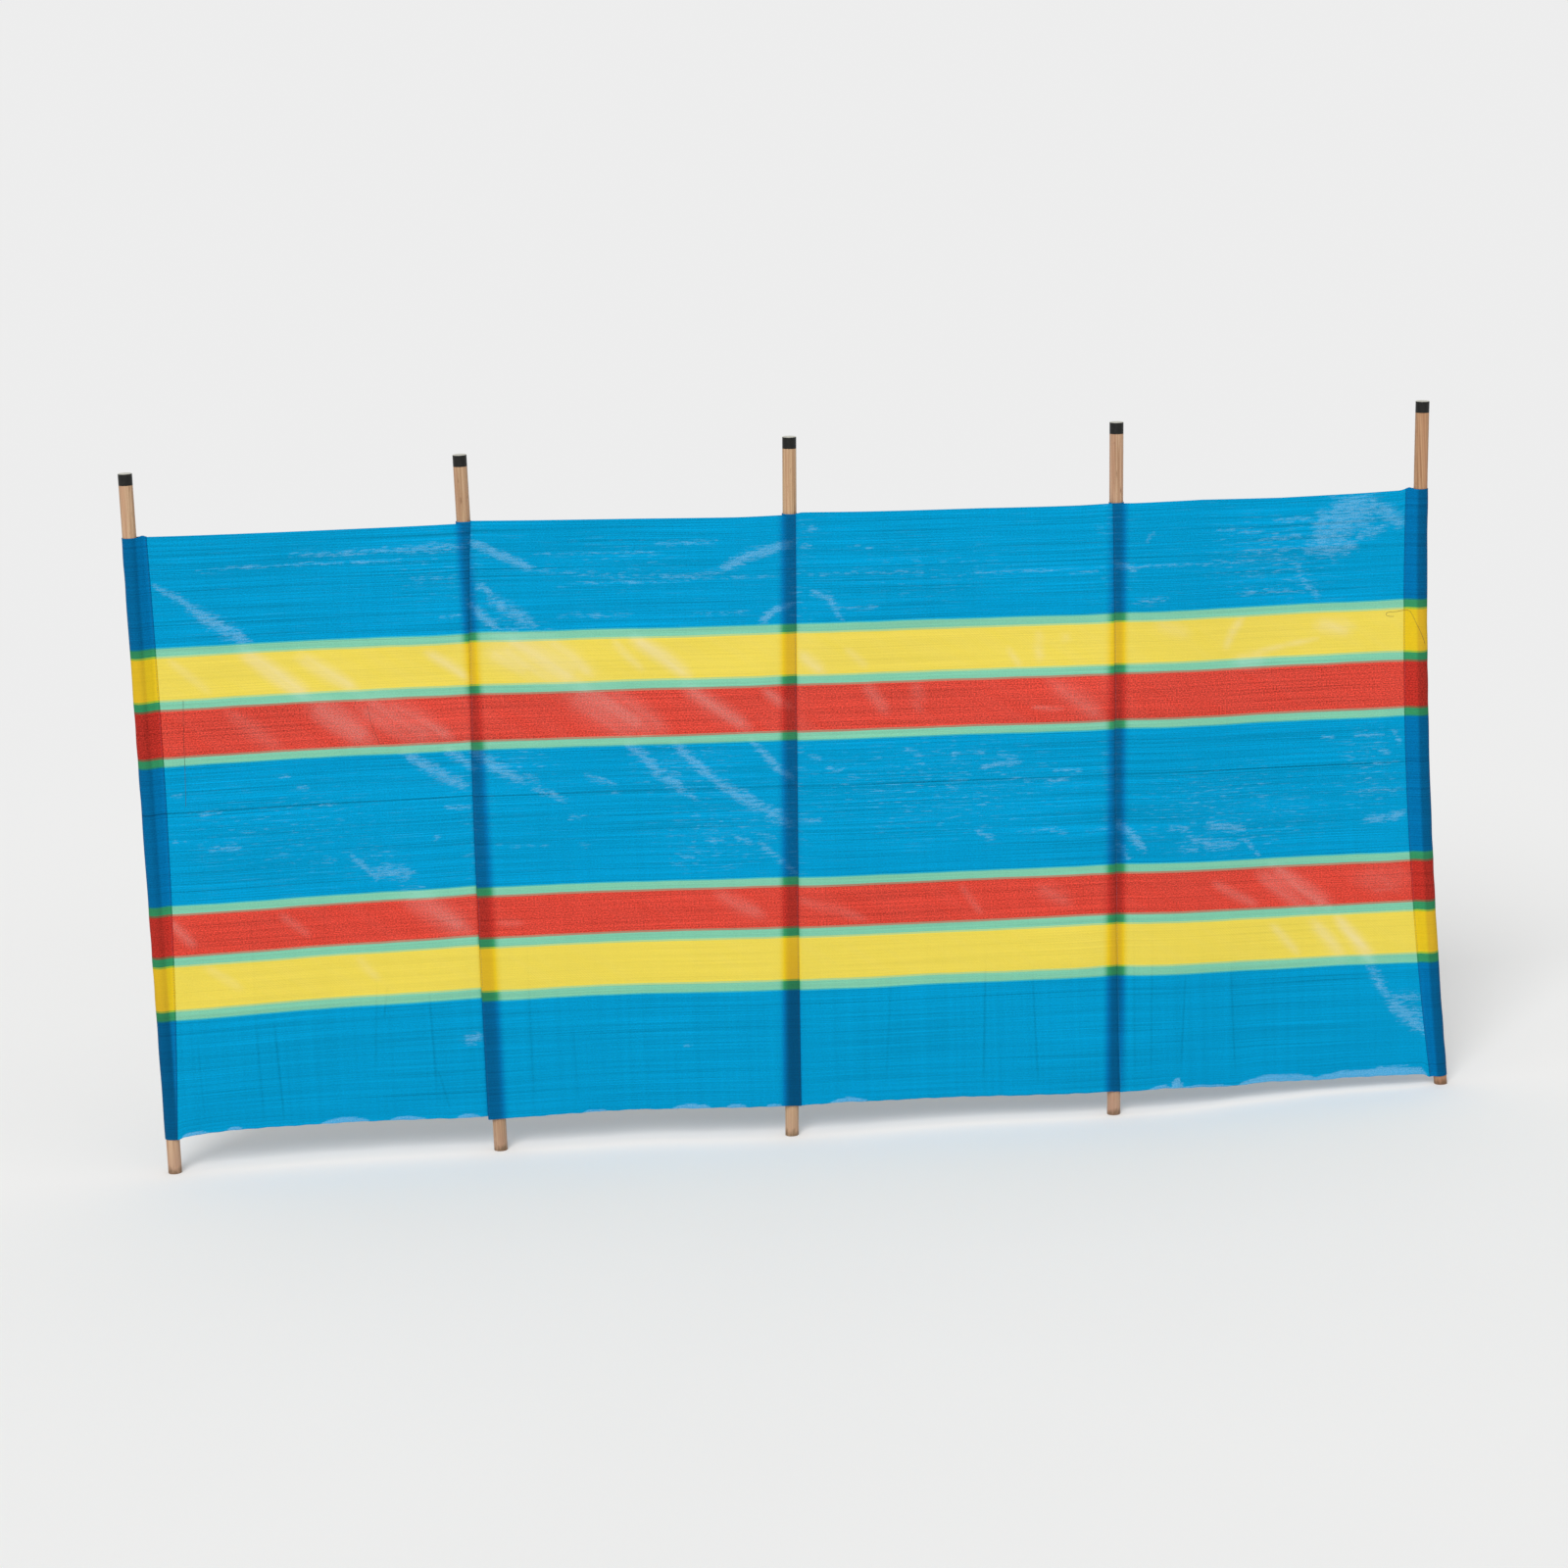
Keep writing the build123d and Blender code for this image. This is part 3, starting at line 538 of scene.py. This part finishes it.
def sleeve(index):
    """The cloth round a pole: from its seam round the pole and back to the seam, or to the hem."""
    towards, at_end = sleeve_side(index), index in (0, LAST)
    near_seam = np.linspace(0, 0.9, 14)
    turn = np.concatenate((near_seam, np.linspace(0.9, 2 * pi - 0.9, 34)[1:-1], 2 * pi - near_seam[::-1]))
    if towards == -1 or not at_end:
        turn = turn[::-1]
    flat_x, flat_y = sleeve_outline(index, turn)
    peak = 0.0
    if at_end:
        flat_x, flat_y, peak = hemmed(flat_x, flat_y, towards)
    points, across = pole_frame(index, CLOTH_LIFT[index] + rise_rows)
    grid = points[:, None, :] + across[:, None, :] * flat_x[..., None]
    grid[..., 1] += flat_y
    grid[..., 2] += hang_at_pole(index, rise_rows)[:, None] + peak
    steps = np.hypot(np.diff(flat_x, axis=1), np.diff(flat_y, axis=1))
    run = np.concatenate((np.zeros((len(rise_rows), 1)), np.cumsum(steps, axis=1)), axis=1)
    cloth_x = grid[:, -1:, 0] + towards * (run - run[:, -1:])
    rise = np.broadcast_to(rise_rows[:, None], cloth_x.shape)
    # painted shade of the sleeve's two layers, and the pole's painted shadow over it at an end
    low, high = SHADOW_REACH[index] - END_SOFTNESS, SHADOW_REACH[index] + END_SOFTNESS
    painted_pole_shadow = 1 - smoothstep(low, high, flat_x * towards)
    shade = 1 + (shadow_depth(index, rise) - 1) * painted_pole_shadow if at_end else 1 + 0 * rise
    # painted sheen and wear along an end sleeve's outer edge
    sheen_and_wear = EDGE_SHEEN_AND_WEAR * at_end * smoothstep(LOOP_RADIUS - EDGE_SHEEN_WIDTH, LOOP_RADIUS, -flat_x * towards)
    made = cloth_object(f"sleeve_{index + 1}_cloth", grid, np.stack((cloth_x, rise), axis=-1), shade, sheen_and_wear)
    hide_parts(f"sleeve_{index + 1}")
    return made, float(run[:, -1].mean())


def front_of(objects):
    """A tree of the objects' faces, to lay things on their front."""
    corners, faces = [], []
    for made in objects:
        first = len(corners)
        corners.extend(vertex.co for vertex in made.data.vertices)
        faces.extend([first + corner for corner in polygon.vertices] for polygon in made.data.polygons)
    return BVHTree.FromPolygons(corners, faces)


def laid(tree, x, z, clear):
    """The point in front of the cloth at x and z, clear of its middle surface by that much."""
    found = tree.ray_cast(Vector((x, -1.0, z)), Vector((0.0, 1.0, 0.0)))[0]
    return (x, found.y - clear, z)


def threads(name, paths, radius, colour):
    """Fine round threads along paths of points, as one mesh."""
    turn = np.linspace(0, 2 * pi, THREAD_SIDES + 1)[:-1]
    corners, faces = [], []
    for path in paths:
        path = np.array(path)
        first = len(corners)
        along = np.gradient(path, axis=0)
        along /= np.linalg.norm(along, axis=1, keepdims=True)
        out = np.cross(along, (0.0, 1.0, 0.0))
        out /= np.linalg.norm(out, axis=1, keepdims=True)
        up = np.cross(along, out)
        for centre, outward, upward in zip(path, out, up):
            corners.extend(centre + radius * (cos(t) * outward + sin(t) * upward) for t in turn)
        for base in range(first, len(corners) - THREAD_SIDES, THREAD_SIDES):
            for i in range(THREAD_SIDES):
                here, beside = base + i, base + (i + 1) % THREAD_SIDES
                faces.append((here, beside, beside + THREAD_SIDES, here + THREAD_SIDES))
        faces.append(range(first, first + THREAD_SIDES)[::-1])
        faces.append(range(len(corners) - THREAD_SIDES, len(corners)))
    mesh = bpy.data.meshes.new(name)
    mesh.from_pydata([tuple(corner) for corner in corners], [], faces)
    mesh.polygons.foreach_set("use_smooth", np.ones(len(faces), bool))
    mesh.materials.append(colour)
    return add_object(name, mesh)


def stitching(index, tree):
    """The row of stitches along a sleeve's seam, on the front of the cloth."""
    side = 1 if index in (0, LAST) or np.mean(SEAM_REACH[index]) > 0 else -1
    paths = []
    for low in np.arange(STITCH_START, CLOTH_HEIGHT - STITCH_END, STITCH_PITCH):
        rise = low + STITCH_LENGTH * np.array((0.0, 0.2, 0.8, 1.0))
        line = seam(index, rise)
        x = line[:, 0] - STITCH_INSET[index] * side * sleeve_side(index)
        z = line[:, 2] + hang_at_pole(index, rise)
        sunk = CLOTH_THICKNESS / 2 + STITCH_RADIUS * np.array((-1.5, 0.6, 0.6, -1.5))
        paths.append([laid(tree, *place) for place in zip(x, z, sunk)])
    return threads(f"sleeve_{index + 1}_stitches", paths, STITCH_RADIUS, stitch_finish)


def loose_thread(number, tree):
    """One of the loose threads, smoothed through the places that it passes."""
    places = np.array(THREADS[number]) * MM
    curve = bpy.data.curves.new("path", "CURVE")
    spline = curve.splines.new("NURBS")
    spline.points.add(len(places) - 1)
    for point, (x, z) in zip(spline.points, places):
        point.co = (x, 0.0, z, 1.0)
    spline.order_u, spline.use_endpoint_u, spline.resolution_u = 3, True, 6
    carrier = bpy.data.objects.new("path", curve)
    mesh = bpy.data.meshes.new_from_object(carrier)
    path = [laid(tree, v.co.x, v.co.z, CLOTH_THICKNESS / 2 + THREAD_RADIUS) for v in mesh.vertices]
    bpy.data.objects.remove(carrier)
    return threads(f"loose_thread_{number + 1}", [path], THREAD_RADIUS, loose_finish)


def linear(rgb):
    """A screen colour of 0 to 255 as the linear colour that Blender works in."""
    shares = [value / 255 for value in rgb]
    return tuple(v / 12.92 if v <= 0.04045 else ((v + 0.055) / 1.055) ** 2.4 for v in shares) + (1.0,)


class Nodes:
    """The shader nodes of a material or a world. Each method adds some and returns an output socket."""

    def __init__(self, owner):
        self.owner = owner
        owner.use_nodes = True
        self.tree = owner.node_tree
        self.tree.nodes.clear()

    def node(self, kind, inputs=None, **settings):
        """The node itself, with its inputs linked to sockets or set to values."""
        made = self.tree.nodes.new(kind)
        for label, value in settings.items():
            setattr(made, label, value)
        for label, value in (inputs or {}).items():
            if isinstance(value, bpy.types.NodeSocket):
                self.tree.links.new(value, made.inputs[label])
            else:
                made.inputs[label].default_value = value
        return made

    def maths(self, operation, *values):
        return self.node("ShaderNodeMath", dict(enumerate(values)), operation=operation).outputs[0]

    def mix(self, factor, first, second):
        inputs = {0: factor, 6: first, 7: second}
        return self.node("ShaderNodeMix", inputs, data_type="RGBA").outputs[2]

    def blend(self, factor, first, second):
        """Between two numbers, where mix is between two colours."""
        return self.node("ShaderNodeMix", {0: factor, 2: first, 3: second}).outputs[0]

    def vector(self, operation, *values):
        return self.node("ShaderNodeVectorMath", dict(enumerate(values)), operation=operation).outputs[0]

    def noise(self, place, scale, detail=2.0, roughness=0.5):
        scaled = self.vector("MULTIPLY", place, scale)
        inputs = {"Vector": scaled, "Scale": 1.0, "Detail": detail, "Roughness": roughness}
        return self.node("ShaderNodeTexNoise", inputs).outputs[0]

    def remap(self, value, low, high, to_low=0.0, to_high=1.0):
        return self.node("ShaderNodeMapRange", {0: value, 1: low, 2: high, 3: to_low, 4: to_high}).outputs[0]

    def brighter(self, colour, factor):
        return self.node("ShaderNodeVectorMath", {0: colour, "Scale": factor}, operation="SCALE").outputs[0]

    def attribute(self, name):
        return self.node("ShaderNodeAttribute", attribute_name=name).outputs["Fac"]

    def bump(self, height, distance, normal=None):
        inputs = {"Height": height, "Distance": distance, "Strength": 1.0}
        if normal is not None:
            inputs["Normal"] = normal
        return self.node("ShaderNodeBump", inputs).outputs[0]

    def principled(self, **inputs):
        named = {label.replace("_", " "): value for label, value in inputs.items()}
        return self.node("ShaderNodeBsdfPrincipled", named).outputs[0]

    def finish(self, shader, output="ShaderNodeOutputMaterial"):
        """End with the shader, and return the material or world."""
        self.node(output, {"Surface": shader})
        return self.owner


def stripe_masks(nodes, height):
    """For each colour but the first: 1 on its stripes, 0 elsewhere."""
    top, found = CLOTH_HEIGHT, {}
    for colour, width in STRIPES:
        if colour != "blue":
            inside = nodes.maths("COMPARE", height, top - width / 2, width / 2)
            found[colour] = nodes.maths("ADD", found[colour], inside) if colour in found else inside
        top -= width
    return found


def striped(nodes, masks, colours):
    """A colour for each stripe."""
    result = linear(colours["blue"])
    for name, mask in masks.items():
        result = nodes.mix(mask, result, linear(colours[name]))
    return result


def striped_value(nodes, masks, values):
    """A number for each stripe, from the one on blue."""
    result = values["blue"]
    for name, mask in masks.items():
        result = nodes.maths("MULTIPLY_ADD", mask, values[name] - values["blue"], result)
    return result


def tape_light(nodes, place, tapes, masks):
    """How much lighter or darker each flat tape of the weave is, with the crossing tapes and the grain."""
    height = nodes.node("ShaderNodeSeparateXYZ", {0: place}).outputs[1]
    fine = nodes.remap(tapes, 0.25, 0.75, -0.32, 0.32)
    broad = nodes.remap(nodes.noise(place, (0.7, 120, 0), 3), 0.3, 0.7, -0.06, 0.06)
    dark = nodes.remap(nodes.noise(place, (0.35, 330, 0), 1), 0.65, 0.72, 0, -0.20)
    grain = nodes.remap(nodes.noise(place, (330, 560, 0), 1), 0.3, 0.7, -0.14, 0.14)
    grain = nodes.maths("MULTIPLY", grain, nodes.maths("MULTIPLY_ADD", masks["red"], 1.9, 1.0))
    lines = nodes.maths("ADD", nodes.maths("ADD", fine, broad), nodes.maths("ADD", dark, grain))
    lines = nodes.maths("MULTIPLY", lines, nodes.remap(height, 0.1, 0.6, 0.70, 1.02))
    cross = nodes.remap(nodes.noise(place, (75, 1.4, 0), 3), 0.3, 0.7, -0.04, 0.04)
    cross = nodes.maths("MULTIPLY", cross, nodes.remap(height, 0.2, 0.5, 1, 0.5))
    return nodes.maths("ADD", lines, cross)


def marks(nodes, parts):
    """How much darker the cloth is on the single dark tapes, and the painted shade along the fine upright creases."""
    x, height = parts[:2]
    total = 0.0
    for rise, half, depth in DARK_TAPES:
        away = nodes.maths("ABSOLUTE", nodes.maths("SUBTRACT", height, rise))
        total = nodes.maths("SUBTRACT", total, nodes.remap(away, 0.4 * half, 1.4 * half, depth, 0))
    # painted shade along each fine crease
    for *ends, depth in CREASE_SHADES:
        top_x, top, low_x, low = (end * MM for end in ends)
        line = nodes.remap(height, low, top, low_x, top_x)
        away = nodes.maths("ABSOLUTE", nodes.maths("SUBTRACT", x, line))
        from_middle = nodes.maths("ABSOLUTE", nodes.maths("SUBTRACT", height, (top + low) / 2))
        fade = nodes.remap(from_middle, 0.3 * (top - low), 0.5 * (top - low), depth / 100, 0)
        crease_shade = nodes.maths("MULTIPLY", nodes.remap(away, 0, CREASE_WIDTH, 1.15, 0), fade)
        total = nodes.maths("SUBTRACT", total, crease_shade)
    return total


def sheen_cover(nodes, place, sheen_and_wear, masks):
    """How much of the painted shine shows: ragged on blue, speckled on red, soft on the paler stripes."""
    dashes = nodes.noise(place, (46, 270, 0), 3, 0.7)
    ragged = nodes.maths("MULTIPLY_ADD", nodes.maths("SUBTRACT", dashes, 0.5), 2.8, sheen_and_wear)
    ragged = nodes.maths("MULTIPLY", nodes.remap(ragged, 0.20, 0.72), nodes.remap(sheen_and_wear, 0.05, 0.25))
    slanted = nodes.node("ShaderNodeMapping", {"Vector": place, "Rotation": (0, 0, radians(36))}).outputs[0]
    uneven = nodes.remap(nodes.noise(slanted, (6, 50, 0), 3), 0.3, 0.7, 0.7, 1.3)
    soft = nodes.remap(nodes.maths("MULTIPLY", nodes.maths("ADD", sheen_and_wear, 0.08), uneven), 0.07, 0.88)
    speckle = nodes.remap(nodes.noise(place, (420, 640, 0), 1), 0.38, 0.60, 0.30, 1)
    streaks = nodes.remap(nodes.noise(place, (14, 560, 0), 2), 0.63, 0.74, 0, 0.4)
    streaks = nodes.maths("MULTIPLY", streaks, nodes.remap(sheen_and_wear, 0, 0.10))
    small = nodes.remap(nodes.noise(place, (36, 270, 0), 2), 0.61, 0.70, 0, 0.62)
    small = nodes.maths("MULTIPLY", small, nodes.remap(sheen_and_wear, 0.035, 0.10))
    streaks = nodes.maths("MAXIMUM", streaks, small)
    cover = nodes.maths("MAXIMUM", nodes.maths("MULTIPLY", ragged, speckle), streaks)
    cover = nodes.blend(masks["red"], cover, nodes.maths("MULTIPLY", soft, speckle))
    pale = nodes.maths("ADD", nodes.maths("ADD", masks["yellow"], masks["lime"]), masks["mint"])
    return nodes.blend(pale, cover, soft)


def make_cloth():
    """Striped cloth of flat woven tapes, a little translucent, with painted shade at its seams, a painted shadow over
    the poles and a painted highlight where it is rubbed or creased.
    """
    nodes = Nodes(bpy.data.materials.new("striped woven cloth"))
    place = nodes.node("ShaderNodeUVMap", uv_map="cloth").outputs[0]
    parts = nodes.node("ShaderNodeSeparateXYZ", {0: place}).outputs
    wander = nodes.maths("SUBTRACT", nodes.noise(place, (9, 14, 0), 2), 0.5)
    height = nodes.maths("MULTIPLY_ADD", wander, 0.003, parts[1])
    masks = stripe_masks(nodes, height)
    shade, sheen_and_wear = nodes.attribute("shade"), nodes.attribute("sheen_and_wear")
    single, double_layer_shade, painted_pole_shadow = (
        striped(nodes, masks, {name: layers[count] for name, layers in DYES_AND_SHADE.items()}) for count in range(3))
    # painted shade where the cloth is two layers, and the pole's painted shadow
    colour = nodes.mix(nodes.remap(shade, 0, 1), single, double_layer_shade)
    colour = nodes.mix(nodes.remap(shade, 1, 2), colour, painted_pole_shadow)
    tapes = nodes.noise(place, (2.6, 620, 0), 2, 0.6)
    light = tape_light(nodes, place, tapes, masks)
    light = nodes.maths("ADD", light, marks(nodes, parts))
    light = nodes.maths("MULTIPLY", light, striped_value(nodes, masks, TAPE_CONTRAST))
    light = nodes.maths("ADD", light, nodes.remap(parts[1], 0, 0.35, 0.96, 1))
    colour = nodes.brighter(colour, light)
    # painted highlight: paler where the cloth is rubbed or creased and shines, less so in the painted shade
    cover = sheen_cover(nodes, place, sheen_and_wear, masks)
    shine = nodes.maths("MULTIPLY", cover, nodes.remap(shade, 0, 1, 0.62, 0.14))
    colour = nodes.mix(shine, colour, striped(nodes, masks, RUBBED_AND_SHINING))

    waves = [nodes.maths("SINE", nodes.maths("MULTIPLY", part, 2 * pi / WEAVE)) for part in parts[:2]]
    normal = nodes.bump(nodes.maths("MULTIPLY", *waves), 0.00006)
    normal = nodes.bump(tapes, 0.0005, normal)
    roughness = nodes.remap(cover, 0, 1, 0.5, 0.3)
    glossy = nodes.principled(Base_Color=colour, Roughness=roughness, Specular_IOR_Level=0.03, Normal=normal)
    through = nodes.node("ShaderNodeBsdfTranslucent", {"Color": colour, "Normal": normal}).outputs[0]
    return nodes.finish(nodes.node("ShaderNodeMixShader", {0: 0.2, 1: glossy, 2: through}).outputs[0])


def make_wood(index):
    """Pine dowel: fine grain along the pole, redder patches, a few brown flecks, painted light near the foot, soil
    just over the ground.
    """
    nodes = Nodes(bpy.data.materials.new(f"pole wood {index + 1}"))
    place = nodes.node("ShaderNodeTexCoord").outputs["Object"]
    height = nodes.node("ShaderNodeSeparateXYZ", {0: place}).outputs[2]
    level = nodes.node("ShaderNodeMapping", {
        "Vector": place, "Rotation": (0, radians(POLE_LEAN[index]), 0)}).outputs[0]
    seed = nodes.vector("ADD", level, (index * 3.7, 0, index * 1.9))
    grain = nodes.noise(seed, (330, 330, 6), 3, 0.6)
    broad = nodes.noise(seed, (60, 60, 2.5), 2)
    flecks = nodes.noise(seed, (240, 240, 40), 2)
    soiled = nodes.maths("MULTIPLY_ADD", nodes.noise(seed, (160, 160, 60), 3), 0.03, height)
    colour = linear((220, 186, 154))
    for cover, tone in (
            (nodes.remap(grain, 0.38, 0.66), (174, 136, 106)),
            (nodes.remap(broad, 0.45, 0.75, 0, 0.5), (196, 146, 120)),
            (nodes.remap(flecks, 0.66, 0.76, 0, 0.7), (132, 92, 68)),
            # painted light near the foot, against the cloth's shadow there
            (nodes.remap(height, 0.02, 0.08, 0.5, 0), (190, 152, 134)),
            (nodes.remap(soiled, 0.018, 0.030, 0.8, 0), (122, 98, 76))):
        colour = nodes.mix(cover, colour, linear(tone))
    colour = nodes.vector("MULTIPLY", colour, WOOD_TONE[index])
    normal = nodes.bump(grain, 0.0004)
    return nodes.finish(nodes.principled(
        Base_Color=colour, Roughness=0.65, Specular_IOR_Level=0.2, Sheen_Weight=0.45, Sheen_Roughness=0.3,
        Normal=normal))


def make_plastic():
    """Black moulded caps, scuffed, with dust and a painted highlight on their tops."""
    nodes = Nodes(bpy.data.materials.new("black cap plastic"))
    coordinates = nodes.node("ShaderNodeTexCoord").outputs
    fine = nodes.noise(coordinates["Object"], (900, 900, 900), 2)
    scuff = nodes.noise(coordinates["Object"], (160, 160, 160), 3)
    colour = nodes.mix(nodes.remap(scuff, 0.5, 0.75, 0, 0.5), linear((14, 14, 11)), linear((34, 33, 27)))
    # dust and a painted highlight where the cap faces up
    upwards = nodes.node("ShaderNodeSeparateXYZ", {0: coordinates["Normal"]}).outputs[2]
    dust_and_top_highlight = nodes.maths("MULTIPLY", nodes.remap(upwards, 0.3, 0.8, 0, 0.9), nodes.remap(scuff, 0.3, 0.6, 0.8, 1))
    colour = nodes.mix(dust_and_top_highlight, colour, linear((212, 210, 198)))
    normal = nodes.bump(fine, 0.00008)
    roughness = nodes.remap(scuff, 0.3, 0.7, 0.38, 0.55)
    return nodes.finish(nodes.principled(
        Base_Color=colour, Roughness=roughness, Specular_IOR_Level=0.3, Normal=normal))


def make_thread(name, dark, pale):
    """Twisted thread between two tones."""
    nodes = Nodes(bpy.data.materials.new(name))
    place = nodes.node("ShaderNodeTexCoord").outputs["Object"]
    twist = nodes.noise(place, (2500, 2500, 2500), 2)
    colour = nodes.mix(twist, linear(dark), linear(pale))
    normal = nodes.bump(twist, 0.0001)
    return nodes.finish(nodes.principled(Base_Color=colour, Roughness=0.6, Specular_IOR_Level=0.3, Normal=normal))


def make_camera():
    """The photograph's viewpoint."""
    data = bpy.data.cameras.new("camera")
    data.sensor_width, data.lens = 36.0, CAMERA_LENS
    made = add_object("camera", data)
    pitch, yaw, roll = radians(CAMERA_PITCH), radians(CAMERA_YAW), radians(CAMERA_ROLL)
    ahead = Vector((sin(yaw) * cos(pitch), cos(yaw) * cos(pitch), -sin(pitch)))
    level = Vector((cos(yaw), -sin(yaw), 0.0))
    upright = level.cross(ahead)
    right = cos(roll) * level + sin(roll) * upright
    up = -sin(roll) * level + cos(roll) * upright
    turned = Matrix((right, up, -ahead)).transposed().to_4x4()
    made.matrix_world = Matrix.Translation(CAMERA_PLACE) @ turned
    bpy.context.scene.camera = made


def make_world():
    """Even light from all round. The camera sees a plain pale tone."""
    nodes = Nodes(bpy.data.worlds.new("studio"))
    light = nodes.node("ShaderNodeBackground", {"Color": (1, 1, 1, 1), "Strength": SKY_LIGHT}).outputs[0]
    backdrop = nodes.node("ShaderNodeBackground", {"Color": BACKDROP}).outputs[0]
    seen = nodes.node("ShaderNodeLightPath").outputs["Is Camera Ray"]
    mixed = nodes.node("ShaderNodeMixShader", {0: seen, 1: light, 2: backdrop}).outputs[0]
    bpy.context.scene.world = nodes.finish(mixed, "ShaderNodeOutputWorld")


def make_floor():
    """A plain pale floor that runs into the backdrop's tone further out."""
    nodes = Nodes(bpy.data.materials.new("studio floor"))
    place = nodes.node("ShaderNodeTexCoord").outputs["Object"]
    distance = nodes.node("ShaderNodeVectorMath", {0: place}, operation="LENGTH").outputs["Value"]
    tone = nodes.mix(nodes.noise(place, (0.8, 0.8, 0.8), 2), linear((241, 241, 240)), linear((245, 245, 244)))
    lit = nodes.principled(Base_Color=tone, Roughness=0.9, Specular_IOR_Level=0.1)
    plain = nodes.node("ShaderNodeEmission", {"Color": BACKDROP}).outputs[0]
    seen = nodes.node("ShaderNodeLightPath").outputs["Is Camera Ray"]
    far = nodes.maths("MULTIPLY", nodes.remap(distance, 1.8, 5.0), seen)
    material = nodes.finish(nodes.node("ShaderNodeMixShader", {0: far, 1: lit, 2: plain}).outputs[0])
    mesh = bpy.data.meshes.new("floor")
    shape = bmesh.new()
    bmesh.ops.create_circle(shape, cap_ends=True, radius=FLOOR_RADIUS, segments=96)
    shape.to_mesh(mesh)
    shape.free()
    mesh.materials.append(material)
    add_object("floor", mesh)


def make_light():
    """One broad, soft light from the front, high on the left."""
    lamp = bpy.data.lights.new("key", "SUN")
    lamp.energy, lamp.angle = KEY_LIGHT, radians(KEY_SPREAD)
    made = add_object("key", lamp)
    made.rotation_mode = "QUATERNION"
    made.rotation_quaternion = Vector(KEY_DIRECTION).to_track_quat("-Z", "Y")


make_camera()
make_world()
make_floor()
make_light()

cloth_material, cap_plastic = make_cloth(), make_plastic()
stitch_finish = make_thread("sewing thread", (24, 70, 96), (50, 100, 124))
loose_finish = make_thread("loose thread", (64, 52, 44), (96, 80, 66))
rise_rows = graded(CLOTH_HEIGHT)
panels = [panel(bay) for bay in range(LAST)]
sleeves = [sleeve(index) for index in range(LAST + 1)]
cloths = [made for made, _ in panels + sleeves]
cloth_front = front_of(cloths)
stitches = [stitching(index, cloth_front) for index in range(LAST + 1)]
loose = [loose_thread(number, cloth_front) for number in range(len(THREADS))]

for piece in cloths + stitches + loose:
    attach(piece, "root")

for index in range(LAST + 1):
    for node_name, finish in ((f"pole_{index + 1}", make_wood(index)), (f"cap_{index + 1}", cap_plastic)):
        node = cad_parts[node_name]
        for material_slot in node.material_slots:
            material_slot.material = finish

bpy.context.scene.view_settings.view_transform = "Standard"
